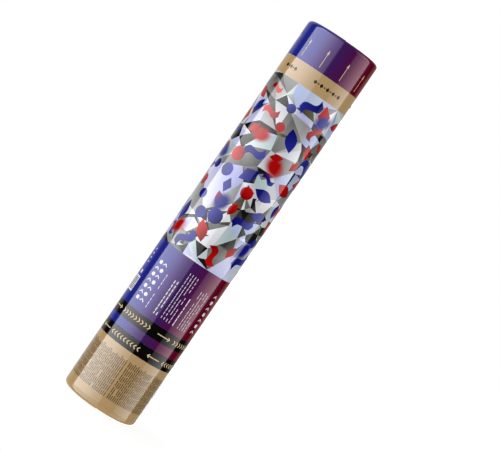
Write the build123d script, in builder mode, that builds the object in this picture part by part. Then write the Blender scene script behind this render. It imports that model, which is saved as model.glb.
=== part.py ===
from build123d import *
import math
import os

# Confetti popper fired by compressed air. One hand holds the handle, the other turns the barrel
# a quarter turn to the right. Two spiral tracks in the barrel then let a pair of jaws slide apart,
# the stopper of the air cylinder rises, and the air drives the wad, the paper and the cap out.
# Millimetres, +Z up along the tube, origin at the middle of the foot that it stands on.

# Outside
outer_diameter = 53.0
overall_height = 279.0
edge_radius = 3.0
joint_height = 51.0
joint_gap = 0.4
film_thickness = 0.3
film_lap = 5.0

# Fits
glue_gap = 0.05
running_clearance = 0.08
slide_clearance = 0.1
axial_play = 0.05

# Barrel
tube_wall = 2.0
collar_wall = 2.6
collar_height = 12.0

# Handle cup
cup_wall = 2.2
floor_thickness = 3.2
foot_land = 1.0
foot_ring_width = 4.5
foot_recess_depth = 1.0
seat_ring_wall = 1.5
seat_ring_height = 12.0
rib_count = 8
rib_thickness = 1.5
rib_height = 9.0
rib_root = 0.6

# Handle neck, with the spigot that the barrel turns on
plug_depth = 8.0
plug_wall = 2.0
flange_thickness = 2.5
spigot_wall = 1.9
spigot_crown = 2.6
washer_inset = 0.8
swivel_ring_thickness = 1.0
swivel_ring_lip = 1.3
swivel_ring_opening = 16.0
groove_depth = 0.9
tab_count = 4
tab_width = 5.0
tab_height = 2.0

# Air cylinder
cylinder_side_clearance = 1.0
cylinder_seat_clearance = 0.2
cylinder_wall = 1.0
cylinder_corner = 2.0
cylinder_rim_width = 1.2
dome_height = 4.0
neck_radius = 8.5
neck_wall = 2.0
neck_height = 8.0
bung_hole_radius = 2.5
bung_flange_radius = 4.5
bung_flange_thickness = 1.5

# Valve in the cylinder's neck
gasket_thickness = 0.8
seat_flange_lip = 1.0
seat_flange_thickness = 2.0
seat_wall = 1.45
seat_relief_width = 0.8
seat_relief_depth = 1.0

# Valve housing and its cap
skirt_length = 16.0
deck_thickness = 2.0
channel_height = 6.0
guide_cap_thickness = 2.0
stake_radius = 1.2
stake_count = 4
stake_head = 0.6

# Stopper and its ring
stopper_clearance = 0.1
stopper_stem_depth = 5.0
stopper_pin_radius = 2.2
stopper_hole_clearance = 0.6
cone_start = 1.5
o_ring_wire_radius = 0.75
o_ring_depth = 1.6

# Jaws and the cam that lets them go
jaw_width = 8.0
jaw_clearance = 0.3
jaw_free_travel = 0.7
jaw_reach = 2.0
jaw_nose_radius = 3.5
cam_turn = 90.0
cam_margin = 20.0
cam_wall = 2.0
cam_clearance = 0.4
cam_land_clearance = 0.5
cam_lip = 0.8
cam_skirt_wall = 2.2
cam_points = 9

# Baffle and charge
baffle_headroom = 4.2
baffle_thickness = 2.5
vent_count = 6
vent_radius = 3.2
vent_circle_radius = 14.0
wad_thickness = 6.0
wad_clearance = 0.25
wad_edge = 0.8
charge_clearance = 0.45
paper_thickness = 0.4
paper_gap = 0.1
strip_width = 11.0
strip_side_gap = 1.2
strip_bow = 5.0
strip_stacks = 3
strip_layers = 7
disc_columns = 3
disc_tilt = 6.0
head_space = 30.0

# Mouth cap
cap_edge_land = 0.4
cap_seam = 0.2
cap_fit = 0.1
cap_plug_depth = 10.0
cap_plug_wall = 1.5
cap_plate_thickness = 1.8
cap_recess_depth = 0.6

# Radii that follow from the outside inwards
outer_radius = outer_diameter / 2
tube_radius = outer_radius - film_thickness - glue_gap
bore_radius = tube_radius - tube_wall
insert_radius = bore_radius - glue_gap
collar_bore = insert_radius - collar_wall
spigot_radius = collar_bore - running_clearance
spigot_bore = spigot_radius - spigot_wall
groove_radius = spigot_radius - groove_depth
cylinder_radius = spigot_bore - cylinder_side_clearance
cup_inner_radius = tube_radius - cup_wall

# Radii that follow from the cylinder's neck
neck_bore = neck_radius - neck_wall
seat_stem_radius = neck_bore - glue_gap
seat_bore = seat_stem_radius - seat_wall
stopper_radius = seat_bore - stopper_clearance
stopper_hole_radius = stopper_radius + stopper_hole_clearance
seat_flange_radius = neck_radius + seat_flange_lip
housing_pocket_radius = seat_flange_radius + slide_clearance
skirt_bore = cylinder_radius + cylinder_seat_clearance

# Radii of the cam's tracks, which leave the cam its wall, and of the jaws and the deck inside them
cone_height = stopper_radius - stopper_pin_radius
jaw_travel = cone_height + jaw_free_travel
track_rise = jaw_travel * (cam_turn + cam_margin) / cam_turn
jaw_nose = insert_radius - cam_wall - track_rise - cam_clearance
deck_radius = jaw_nose - jaw_reach
stake_circle_radius = (stopper_hole_radius + deck_radius) / 2
cam_land_radius = deck_radius + cam_land_clearance

# Heights from the foot upwards
foot_height = edge_radius + foot_land
handle_top = joint_height - joint_gap / 2
barrel_bottom = joint_height + joint_gap / 2
cup_top = handle_top - flange_thickness
collar_top = barrel_bottom + collar_height
groove_bottom = collar_top + axial_play
groove_top = groove_bottom + swivel_ring_thickness + 2 * axial_play
spigot_top = groove_top + spigot_crown
shoulder_start = spigot_top + skirt_length
neck_base = shoulder_start + cylinder_radius - neck_radius
neck_top = neck_base + neck_height
gasket_top = neck_top + gasket_thickness
seat_top = gasket_top + seat_flange_thickness
channel_floor = seat_top + deck_thickness
channel_top = channel_floor + channel_height
guide_top = channel_top + guide_cap_thickness
cone_bottom = channel_floor + cone_start
cone_top = cone_bottom + cone_height
cam_bottom = channel_floor - cam_lip
cam_top = channel_top + cam_lip
baffle_bottom = guide_top + baffle_headroom
baffle_top = baffle_bottom + baffle_thickness
wad_bottom = baffle_top + axial_play
wad_top = wad_bottom + wad_thickness

# Heights from the mouth downwards
film_top = overall_height
cap_top = overall_height - film_thickness - glue_gap
barrel_top = overall_height - edge_radius - cap_edge_land
cap_bottom = barrel_top + cap_seam
cap_plug_bottom = cap_bottom - cap_plug_depth
charge_limit = cap_plug_bottom - head_space


def add_ring(bottom, top, outer, inner, mode=Mode.ADD):
    """A plain ring between two heights."""
    with BuildSketch(Plane.XY.offset(bottom)) as section:
        Circle(outer)
        Circle(inner, mode=Mode.SUBTRACT)
    extrude(section.sketch, amount=top - bottom, mode=mode)


def add_disc(bottom, top, radius, mode=Mode.ADD):
    """A plain disc between two heights."""
    with BuildSketch(Plane.XY.offset(bottom)) as section:
        Circle(radius)
    extrude(section.sketch, amount=top - bottom, mode=mode)


def add_turned(*profile):
    """A turned solid from the corners of its half section, each a radius and a height."""
    with BuildSketch(Plane.XZ) as section:
        with BuildLine():
            Polyline(*profile, close=True)
        make_face()
    revolve(section.sketch, axis=Axis.Z)


def add_tabs(bottom, top, clearance, mode):
    """Keys on the spigot's wall that turn the valve housing with the handle."""
    with BuildSketch(Plane.XY.offset(bottom)) as section:
        with PolarLocations((spigot_radius + spigot_bore) / 2, tab_count):
            Rectangle(2 * spigot_wall, tab_width + 2 * clearance)
        Circle(spigot_radius, mode=Mode.INTERSECT)
        Circle(spigot_bore, mode=Mode.SUBTRACT)
    extrude(section.sketch, amount=top - bottom, mode=mode)


# Handle cup: foot, wall, floor and the ribbed seat of the air cylinder
with BuildPart() as handle_cup:
    add_disc(0, foot_height, outer_radius)
    fillet(handle_cup.edges().filter_by(GeomType.CIRCLE).sort_by(Axis.Z)[0], edge_radius)
    add_disc(foot_height, cup_top, tube_radius)
    add_disc(floor_thickness, cup_top, cup_inner_radius, Mode.SUBTRACT)
    add_disc(0, foot_recess_depth, outer_radius - edge_radius - foot_ring_width, Mode.SUBTRACT)
    seat_ring_bore = cylinder_radius + cylinder_seat_clearance
    seat_ring_radius = seat_ring_bore + seat_ring_wall
    add_ring(floor_thickness, floor_thickness + seat_ring_height, seat_ring_radius, seat_ring_bore)
    with BuildSketch(Plane.XY.offset(floor_thickness)):
        with PolarLocations((seat_ring_radius + cup_inner_radius) / 2, rib_count):
            Rectangle(cup_inner_radius - seat_ring_radius + 2 * rib_root, rib_thickness)
    extrude(amount=rib_height)

# Handle neck: plug, flange and spigot, with the groove of the swivel ring and the notches of the housing
with BuildPart() as handle_neck:
    plug_radius = cup_inner_radius - glue_gap
    add_ring(cup_top - plug_depth, cup_top, plug_radius, plug_radius - plug_wall)
    add_ring(cup_top, handle_top, tube_radius, spigot_bore)
    add_ring(handle_top, spigot_top, spigot_radius, spigot_bore)
    add_ring(groove_bottom, groove_top, spigot_radius, groove_radius, Mode.SUBTRACT)
    add_tabs(spigot_top - tab_height - axial_play, spigot_top, slide_clearance, Mode.SUBTRACT)

# Printed film round the handle
with BuildPart() as handle_sleeve:
    add_ring(foot_height + glue_gap, handle_top, outer_radius, outer_radius - film_thickness)

# Slip washer in the joint
with BuildPart() as thrust_washer:
    washer_bore = spigot_radius + slide_clearance
    add_ring(handle_top, barrel_bottom - axial_play, tube_radius - washer_inset, washer_bore)

# Split ring that keeps the barrel on the spigot
with BuildPart() as swivel_ring:
    ring_bottom = groove_bottom + axial_play
    ring_outer = spigot_radius + swivel_ring_lip
    add_ring(ring_bottom, ring_bottom + swivel_ring_thickness, ring_outer, groove_radius + glue_gap)
    half_opening = ring_outer * math.tan(math.radians(swivel_ring_opening / 2))
    with BuildSketch(Plane.XY.offset(ring_bottom)):
        with BuildLine():
            Polyline((0, 0), (half_opening, ring_outer), (-half_opening, ring_outer), close=True)
        make_face()
    extrude(amount=swivel_ring_thickness, mode=Mode.SUBTRACT)

# Air cylinder: a drawn can with a domed bottom, a round shoulder and a neck
dome_edge = cylinder_radius - cylinder_corner - cylinder_rim_width
dome_radius = (dome_edge**2 + dome_height**2) / (2 * dome_height)
cylinder_bottom = floor_thickness


def dome_level(radius):
    """Height of the dome's outside at a distance from the axis."""
    return cylinder_bottom + dome_height - dome_radius + math.sqrt(dome_radius**2 - radius**2)


with BuildPart() as cylinder_space:
    inner_shoulder = cylinder_radius - neck_radius - cylinder_wall
    with BuildSketch(Plane.XZ):
        with BuildLine():
            inner_radius = cylinder_radius - cylinder_wall
            Polyline(
                (0, cylinder_bottom + cylinder_wall),
                (inner_radius, cylinder_bottom + cylinder_wall),
                (inner_radius, shoulder_start),
            )
            CenterArc((neck_radius, shoulder_start), inner_shoulder, 0, 90)
            Polyline(
                (neck_radius, shoulder_start + inner_shoulder),
                (neck_bore, shoulder_start + inner_shoulder),
                (neck_bore, neck_top),
                (0, neck_top),
                (0, cylinder_bottom + cylinder_wall),
            )
        make_face()
    revolve(axis=Axis.Z)
    with Locations((0, 0, cylinder_bottom + dome_height - dome_radius)):
        Sphere(dome_radius + cylinder_wall, mode=Mode.SUBTRACT)

with BuildPart() as air_cylinder:
    with BuildSketch(Plane.XZ):
        with BuildLine():
            Polyline(
                (0, cylinder_bottom),
                (cylinder_radius, cylinder_bottom),
                (cylinder_radius, shoulder_start),
            )
            CenterArc((neck_radius, shoulder_start), cylinder_radius - neck_radius, 0, 90)
            Polyline((neck_radius, neck_base), (neck_radius, neck_top), (0, neck_top), (0, cylinder_bottom))
        make_face()
    revolve(axis=Axis.Z)
    fillet(air_cylinder.edges().filter_by(GeomType.CIRCLE).sort_by(Axis.Z)[0], cylinder_corner)
    with Locations((0, 0, cylinder_bottom + dome_height - dome_radius)):
        Sphere(dome_radius, mode=Mode.SUBTRACT)
    add(cylinder_space.part, mode=Mode.SUBTRACT)
    bung_hole_top = cylinder_bottom + dome_height + 2 * cylinder_wall
    add_disc(cylinder_bottom, bung_hole_top, bung_hole_radius, Mode.SUBTRACT)

# Rubber bung in the filling hole, gripped by a flange on each side of the dome
with BuildPart() as fill_bung:
    bung_stem = bung_hole_radius - glue_gap
    bung_low = dome_level(bung_flange_radius) - glue_gap
    bung_high = cylinder_bottom + dome_height + cylinder_wall + glue_gap
    add_turned(
        (0, bung_low - bung_flange_thickness),
        (bung_flange_radius, bung_low - bung_flange_thickness),
        (bung_flange_radius, bung_low),
        (bung_stem, bung_low),
        (bung_stem, bung_high),
        (bung_flange_radius, bung_high),
        (bung_stem, bung_high + bung_flange_thickness),
        (0, bung_high + bung_flange_thickness),
    )

# Rubber ring between the neck's rim and the valve seat
with BuildPart() as neck_gasket:
    add_ring(neck_top, gasket_top, neck_radius, seat_stem_radius + glue_gap)

# Turned seat of the stopper, with a relief at its mouth
with BuildPart() as valve_seat:
    seat_relief_radius = seat_bore + seat_relief_width
    relief_bottom = seat_top - seat_relief_depth
    add_turned(
        (seat_bore, neck_base),
        (seat_stem_radius, neck_base),
        (seat_stem_radius, gasket_top),
        (seat_flange_radius, gasket_top),
        (seat_flange_radius, seat_top),
        (seat_relief_radius, seat_top),
        (seat_relief_radius, relief_bottom + seat_relief_width / 2),
        (seat_bore, relief_bottom),
    )

# Valve housing: a skirt keyed to the spigot, a shoulder over the cylinder and a deck with the jaws' channel
with BuildPart() as valve_housing:
    outer_shoulder = spigot_radius - neck_radius
    under_shoulder = skirt_bore - neck_radius
    outer_angle = math.acos((deck_radius - neck_radius) / outer_shoulder)
    under_angle = math.acos((housing_pocket_radius - neck_radius) / under_shoulder)
    with BuildSketch(Plane.XZ):
        with BuildLine():
            Polyline((skirt_bore, shoulder_start), (skirt_bore, spigot_top), (spigot_radius, spigot_top))
            Line((spigot_radius, spigot_top), (spigot_radius, shoulder_start))
            outer_arc = CenterArc((neck_radius, shoulder_start), outer_shoulder, 0, math.degrees(outer_angle))
            under_arc = CenterArc((neck_radius, shoulder_start), under_shoulder, 0, math.degrees(under_angle))
            Polyline(
                outer_arc @ 1,
                (deck_radius, channel_top),
                (stopper_hole_radius, channel_top),
                (stopper_hole_radius, seat_top),
                (housing_pocket_radius, seat_top),
                under_arc @ 1,
            )
        make_face()
    revolve(axis=Axis.Z)
    add_tabs(spigot_top - tab_height, spigot_top, 0, Mode.ADD)
    with BuildSketch(Plane.XY.offset(channel_floor)):
        Rectangle(2 * outer_radius, jaw_width + 2 * slide_clearance)
    extrude(amount=channel_height, mode=Mode.SUBTRACT)
    with BuildSketch(Plane.XY.offset(channel_top)):
        with PolarLocations(stake_circle_radius, stake_count, start_angle=180 / stake_count):
            Circle(stake_radius)
    extrude(amount=guide_cap_thickness + stake_head)

# Cover of the jaws' channel, held by the housing's stakes
with BuildPart() as guide_cap:
    add_ring(channel_top, guide_top, deck_radius, stopper_hole_radius)
    with BuildSketch(Plane.XY.offset(channel_top)):
        with PolarLocations(stake_circle_radius, stake_count, start_angle=180 / stake_count):
            Circle(stake_radius + slide_clearance)
    extrude(amount=guide_cap_thickness, mode=Mode.SUBTRACT)

# Stopper: a sealed stem, a cone that the jaws bear on and a guide pin
with BuildPart() as stopper:
    o_ring_level = seat_top - seat_relief_depth - o_ring_depth
    o_ring_centre = seat_bore - glue_gap - o_ring_wire_radius
    groove_floor = o_ring_centre - o_ring_wire_radius - glue_gap
    groove_half = o_ring_wire_radius + slide_clearance
    add_turned(
        (0, neck_top - stopper_stem_depth),
        (stopper_radius, neck_top - stopper_stem_depth),
        (stopper_radius, o_ring_level - groove_half),
        (groove_floor, o_ring_level - groove_half),
        (groove_floor, o_ring_level + groove_half),
        (stopper_radius, o_ring_level + groove_half),
        (stopper_radius, cone_bottom),
        (stopper_pin_radius, cone_top),
        (stopper_pin_radius, guide_top),
        (0, guide_top),
    )

# Seal of the stopper
with BuildPart() as stopper_o_ring:
    with Locations((0, 0, o_ring_level)):
        Torus(o_ring_centre, o_ring_wire_radius)

# Jaws: sliding blocks with a sloped underside over the stopper's cone and a round nose at the cam
with BuildPart() as jaw_right:
    jaw_bottom = channel_floor + slide_clearance
    jaw_top = channel_top - slide_clearance
    with BuildSketch(Plane.XZ):
        with BuildLine():
            Polyline(
                (stopper_radius + jaw_clearance, jaw_bottom),
                (jaw_nose, jaw_bottom),
                (jaw_nose, jaw_top),
                (stopper_pin_radius + jaw_clearance, jaw_top),
                (stopper_pin_radius + jaw_clearance, cone_top),
                (stopper_radius + jaw_clearance, cone_bottom),
                close=True,
            )
        make_face()
    extrude(amount=jaw_width / 2, both=True)
    fillet(jaw_right.edges().filter_by(Axis.Z).group_by(Axis.X)[-1], jaw_nose_radius)

with BuildPart() as jaw_left:
    mirror(jaw_right.part, about=Plane.YZ)

# Barrel: a wound cardboard tube in a printed film
with BuildPart() as barrel_tube:
    add_ring(barrel_bottom, barrel_top, tube_radius, bore_radius)

with BuildPart() as barrel_sleeve:
    add_ring(barrel_bottom, barrel_top, outer_radius, outer_radius - film_thickness)

# Bearing ring glued into the barrel's lower end
with BuildPart() as swivel_collar:
    add_ring(barrel_bottom, collar_top, insert_radius, collar_bore)

# Cam ring: each track widens by the jaws' travel over a quarter turn, and the lands between stop the turn


def track_point(jaw_angle, turn):
    """A point of a track, by the angle of its jaw and the turn from that jaw, both in degrees."""
    radius = jaw_nose + cam_clearance - jaw_travel * turn / cam_turn
    angle = math.radians(jaw_angle + turn)
    return (radius * math.cos(angle), radius * math.sin(angle))


def land_point(angle):
    """A point of a land between the tracks."""
    return (cam_land_radius * math.cos(math.radians(angle)), cam_land_radius * math.sin(math.radians(angle)))


with BuildPart() as cam_ring:
    track_start = -cam_turn - cam_margin
    track_step = (cam_margin - track_start) / (cam_points - 1)
    with BuildSketch(Plane.XY.offset(cam_bottom)):
        Circle(insert_radius)
        with BuildLine() as opening:
            for jaw_angle in (0, 180):
                land_start = jaw_angle + cam_margin
                land_end = jaw_angle + 180 + track_start
                turns = [track_start + step * track_step for step in range(cam_points)]
                Spline(*[track_point(jaw_angle, turn) for turn in turns])
                Line(track_point(jaw_angle, cam_margin), land_point(land_start))
                ThreePointArc(
                    land_point(land_start),
                    land_point((land_start + land_end) / 2),
                    land_point(land_end),
                )
                Line(land_point(land_end), track_point(jaw_angle + 180, track_start))
        make_face(mode=Mode.SUBTRACT)
    extrude(amount=cam_top - cam_bottom)
    add_ring(cam_top, baffle_bottom, insert_radius, insert_radius - cam_skirt_wall)

# Baffle: lets the air through and carries the wad
with BuildPart() as baffle_plate:
    with BuildSketch(Plane.XY.offset(baffle_bottom)):
        Circle(insert_radius)
        with PolarLocations(vent_circle_radius, vent_count):
            Circle(vent_radius, mode=Mode.SUBTRACT)
    extrude(amount=baffle_thickness)

# Felt wad under the paper
with BuildPart() as wad:
    add_disc(wad_bottom, wad_top, bore_radius - wad_clearance)
    chamfer(wad.edges().filter_by(GeomType.CIRCLE), wad_edge)

# Paper strips: bowed pieces in side by side stacks, turned over in turn so that each lies on the one below
charge_radius = bore_radius - charge_clearance
strip_block_half = strip_stacks * strip_width / 2 + (strip_stacks - 1) * strip_side_gap / 2
strip_half_chord = math.sqrt(charge_radius**2 - strip_block_half**2)
strip_pitch = strip_bow + paper_thickness + paper_gap
strips_top = wad_top + strip_layers * strip_pitch


def strip_planes(colour):
    """Planes of one colour's strips. Every other strip hangs upside down from its plane."""
    planes = []
    for stack in range(strip_stacks):
        middle = (stack - (strip_stacks - 1) / 2) * (strip_width + strip_side_gap)
        for layer in range(strip_layers):
            if (stack + layer) % 2 != colour:
                continue
            level = wad_top + paper_gap + layer * strip_pitch
            upright = layer % 2 == 0
            level += 0 if upright else strip_bow + paper_thickness
            planes.append(Plane((0, middle, level), x_dir=(1 if upright else -1, 0, 0), z_dir=(0, -1, 0)))
    return planes


def add_strips(colour):
    """All strips of one colour."""
    with BuildSketch(*strip_planes(colour)) as section:
        with BuildLine():
            ThreePointArc((-strip_half_chord, 0), (0, strip_bow), (strip_half_chord, 0))
            Line((strip_half_chord, 0), (strip_half_chord, paper_thickness))
            ThreePointArc(
                (strip_half_chord, paper_thickness),
                (0, strip_bow + paper_thickness),
                (-strip_half_chord, paper_thickness),
            )
            Line((-strip_half_chord, paper_thickness), (-strip_half_chord, 0))
        make_face()
    extrude(section.sketch, amount=strip_width / 2, both=True)


with BuildPart() as red_strips:
    add_strips(0)

with BuildPart() as blue_strips:
    add_strips(1)

# Paper discs: three columns fill the bore, and each disc leans the other way from the one below
disc_radius = charge_radius / (1 + 2 / math.sqrt(3)) - paper_gap
disc_column_radius = charge_radius - disc_radius
disc_lean = disc_radius * math.sin(math.radians(disc_tilt)) + paper_thickness / 2
disc_pitch = 2 * disc_lean + paper_gap
disc_layers = int((charge_limit - strips_top) / disc_pitch)


def disc_places(colour):
    """Places of one colour's discs."""
    places = []
    for column in range(disc_columns):
        turn = Location((0, 0, 0), (0, 0, 360 * column / disc_columns))
        for layer in range(disc_layers):
            if (column + layer) % 2 != colour:
                continue
            level = strips_top + paper_gap + disc_lean + layer * disc_pitch
            tilt = disc_tilt if layer % 2 == 0 else -disc_tilt
            places.append(turn * Location((disc_column_radius, 0, level), (0, tilt, 0)))
    return places


with BuildPart() as red_discs:
    with Locations(*disc_places(0)):
        Cylinder(disc_radius, paper_thickness)

with BuildPart() as blue_discs:
    with Locations(*disc_places(1)):
        Cylinder(disc_radius, paper_thickness)

# Mouth cap: a rim flush with the tube, a plate and a plug in the bore
with BuildPart() as mouth_cap:
    cap_edge = edge_radius - film_thickness - glue_gap
    plug_outer = bore_radius - cap_fit
    plug_inner = plug_outer - cap_plug_wall
    add_disc(cap_bottom, cap_top, tube_radius)
    fillet(mouth_cap.edges().filter_by(GeomType.CIRCLE).sort_by(Axis.Z)[-1], cap_edge)
    add_disc(cap_plug_bottom, cap_bottom, plug_outer)
    add_disc(cap_plug_bottom, cap_top - cap_plate_thickness, plug_inner, Mode.SUBTRACT)
    add_disc(cap_top - cap_recess_depth, cap_top, tube_radius - cap_edge - film_lap, Mode.SUBTRACT)

# Top end of the printed film, lapped over the cap's edge
with BuildPart() as cap_film:
    film_inner = outer_radius - film_thickness
    edge_centre = (outer_radius - edge_radius, film_top - edge_radius)
    lap_radius = outer_radius - edge_radius - film_lap
    with BuildSketch(Plane.XZ):
        with BuildLine():
            Polyline((film_inner, edge_centre[1]), (film_inner, cap_bottom), (outer_radius, cap_bottom))
            Line((outer_radius, cap_bottom), (outer_radius, edge_centre[1]))
            CenterArc(edge_centre, edge_radius, 0, 90)
            CenterArc(edge_centre, edge_radius - film_thickness, 0, 90)
            Polyline(
                (edge_centre[0], film_top),
                (lap_radius, film_top),
                (lap_radius, film_top - film_thickness),
                (edge_centre[0], film_top - film_thickness),
            )
        make_face()
    revolve(axis=Axis.Z)

pieces = {
    "handle_cup": handle_cup,
    "handle_neck": handle_neck,
    "handle_sleeve": handle_sleeve,
    "thrust_washer": thrust_washer,
    "swivel_ring": swivel_ring,
    "air_cylinder": air_cylinder,
    "fill_bung": fill_bung,
    "neck_gasket": neck_gasket,
    "valve_seat": valve_seat,
    "valve_housing": valve_housing,
    "guide_cap": guide_cap,
    "stopper": stopper,
    "stopper_o_ring": stopper_o_ring,
    "jaw_left": jaw_left,
    "jaw_right": jaw_right,
    "barrel_tube": barrel_tube,
    "barrel_sleeve": barrel_sleeve,
    "swivel_collar": swivel_collar,
    "cam_ring": cam_ring,
    "baffle_plate": baffle_plate,
    "wad": wad,
    "red_strips": red_strips,
    "blue_strips": blue_strips,
    "red_discs": red_discs,
    "blue_discs": blue_discs,
    "mouth_cap": mouth_cap,
    "cap_film": cap_film,
}

os.makedirs("parts", exist_ok=True)
for name, piece in pieces.items():
    piece.part.label = name
    export_step(piece.part, f"parts/{name}.step")

print(f"jaws travel {jaw_travel:.3f} mm in {cam_turn:.0f} degrees")
discs_top = strips_top + disc_layers * disc_pitch
print(f"paper from {wad_top:.2f} to {discs_top:.2f} mm, cap plug from {cap_plug_bottom:.2f} mm")
print(f"barrel from {barrel_bottom:.2f} to {barrel_top:.2f} mm, bore radius {bore_radius:.2f} mm")
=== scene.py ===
import math
import random

import bmesh
import bpy
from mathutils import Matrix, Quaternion, Vector
from mathutils.geometry import delaunay_2d_cdt


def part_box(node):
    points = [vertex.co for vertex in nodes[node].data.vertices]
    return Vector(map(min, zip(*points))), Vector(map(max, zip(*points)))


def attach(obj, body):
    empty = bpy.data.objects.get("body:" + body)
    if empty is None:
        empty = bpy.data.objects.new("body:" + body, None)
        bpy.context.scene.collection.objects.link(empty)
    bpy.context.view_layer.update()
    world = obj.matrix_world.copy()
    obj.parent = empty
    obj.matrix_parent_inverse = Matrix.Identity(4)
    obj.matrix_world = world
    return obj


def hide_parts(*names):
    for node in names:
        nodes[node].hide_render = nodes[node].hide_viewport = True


# The solids of the popper, standing on its foot with the tube along +Z. They are the fixed frame of all
# that follows: one hand holds the handle, the other turns the barrel, and the charge leaves at the top.
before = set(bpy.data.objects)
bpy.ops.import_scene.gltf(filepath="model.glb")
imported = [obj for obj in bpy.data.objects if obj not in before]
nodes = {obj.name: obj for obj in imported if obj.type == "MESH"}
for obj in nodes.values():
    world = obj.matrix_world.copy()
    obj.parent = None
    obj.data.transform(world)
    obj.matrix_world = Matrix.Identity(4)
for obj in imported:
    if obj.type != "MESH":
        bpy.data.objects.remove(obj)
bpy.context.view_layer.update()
mm = 0.001

# Handle cup: the moulded foot of the popper, in the beige of the printed film that is wrapped above it.
# It is injected from the middle of its floor, so a gate stub and a ring of ejector marks stay underneath.
beige = (181, 150, 105)
mould_grain = 0.004 * mm
underside = 1.0 * mm
ejector_sectors = 24
ejector_sizes = {
    "Count": 6,
    "Circle": 15.0 * mm,
    "Radius": 2.2 * mm,
    "Height": 0.3 * mm,
    "Level": underside,
}
gate_radius = 1.6 * mm
gate_root = 0.2 * mm
gate_height = 0.5 * mm
gate_sectors = 32


class Graph:
    """Writes a node tree as calls: what comes out of one node goes into the next."""

    def __init__(self, tree):
        self.tree = tree

    def node(self, kind, inputs=None, **settings):
        """A node with its settings, its plain values set and its other inputs linked."""
        node = self.tree.nodes.new(kind)
        for setting, value in settings.items():
            setattr(node, setting, value)
        for key, value in (inputs or {}).items():
            if isinstance(value, bpy.types.NodeSocket):
                self.tree.links.new(value, node.inputs[key])
            else:
                node.inputs[key].default_value = value
        return node

    def add(self, kind, inputs=None, **settings):
        """What comes out first of a new node."""
        return self.node(kind, inputs, **settings).outputs[0]

    def math(self, operation, *values):
        """The result of a sum on one, two or three values."""
        return self.add("ShaderNodeMath", dict(enumerate(values)), operation=operation)

    def span(self, value, low, high, start=0.0, end=1.0, **settings):
        """A value from start to end, spread from low to high."""
        inputs = {"Value": value, "From Min": start, "From Max": end, "To Min": low, "To Max": high}
        return self.add("ShaderNodeMapRange", inputs, **settings)

    def mixed(self, share, first, second):
        """Two colours mixed by a share."""
        return self.node("ShaderNodeMix", {0: share, 6: first, 7: second}, data_type="RGBA").outputs[2]

    def vector(self, x=0.0, y=0.0, z=0.0):
        """A vector from its parts."""
        return self.add("ShaderNodeCombineXYZ", {"X": x, "Y": y, "Z": z})

    def parts(self, vector):
        """The parts X, Y and Z of a vector."""
        return self.node("ShaderNodeSeparateXYZ", {"Vector": vector}).outputs


class Finish(Graph):
    """A material whose shader has its plain values set, with the Object coordinates of what wears it."""

    def __init__(self, name, **sockets):
        self.material = bpy.data.materials.new(name)
        self.material.use_nodes = True
        super().__init__(self.material.node_tree)
        self.shader = self.tree.nodes["Principled BSDF"]
        for socket, value in sockets.items():
            self.shader.inputs[socket.replace("_", " ")].default_value = value
        self.place = self.node("ShaderNodeTexCoord").outputs["Object"]

    def noise(self, scale, detail=3.0, stretch=None):
        """Noise from 0 to 1, with a scale in lumps to the metre, that may be stretched along the axes."""
        place = self.place
        if stretch:
            place = self.add("ShaderNodeMapping", {"Vector": place, "Scale": stretch})
        return self.add("ShaderNodeTexNoise", {"Vector": place, "Scale": scale, "Detail": detail})

    def shaded(self, colour, texture, low, high):
        """A colour made darker and lighter by a texture."""
        return self.add("ShaderNodeHueSaturation", {"Color": colour, "Value": self.span(texture, low, high)})

    def bump(self, height, strength, depth):
        """A normal from a height texture, with its depth in metres."""
        return self.add("ShaderNodeBump", {"Height": height, "Strength": strength, "Distance": depth})

    def made(self, colour, roughness, normal):
        """The material, once what varies over the surface is linked to its shader."""
        for socket, source in {"Base Color": colour, "Roughness": roughness, "Normal": normal}.items():
            self.tree.links.new(source, self.shader.inputs[socket])
        return self.material


def screen(red, green, blue):
    """A colour given as it looks on a screen, in the linear values that a shader takes."""
    shares = [value / 255 for value in (red, green, blue)]
    linear = [share / 12.92 if share < 0.04 else ((share + 0.055) / 1.055) ** 2.4 for share in shares]
    return (*linear, 1.0)


def moulded(name, colour, roughness):
    """Moulded plastic: flow marks in the colour, an uneven shine and a fine grain from the mould."""
    finish = Finish(name)
    flow = finish.noise(160.0, 4.0, stretch=(1.0, 1.0, 0.35))
    return finish.made(
        finish.shaded(screen(*colour), flow, 0.94, 1.05),
        finish.span(finish.noise(700.0), roughness * 0.8, roughness * 1.25),
        finish.bump(finish.noise(4000.0), 0.5, mould_grain),
    )


def coat(material, *names):
    """Gives CAD nodes their finish."""
    for name in names:
        nodes[name].material_slots[0].material = material


def new_tree(name, **inputs):
    """A Geometry Nodes tree with named inputs of each kind and one geometry out: its graph and its inputs."""
    tree = bpy.data.node_groups.new(name, "GeometryNodeTree")
    for kind, labels in inputs.items():
        for label in labels.split():
            tree.interface.new_socket(label, in_out="INPUT", socket_type="NodeSocket" + kind)
    tree.interface.new_socket("Geometry", in_out="OUTPUT", socket_type="NodeSocketGeometry")
    graph = Graph(tree)
    return graph, graph.node("NodeGroupInput").outputs


def close_tree(graph, geometry, ink):
    """The end of a tree: real faces, with their material."""
    real = graph.add("GeometryNodeRealizeInstances", {"Geometry": geometry})
    done = graph.add("GeometryNodeSetMaterial", {"Geometry": real, "Material": ink})
    graph.node("NodeGroupOutput", {"Geometry": done})
    return graph


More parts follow.
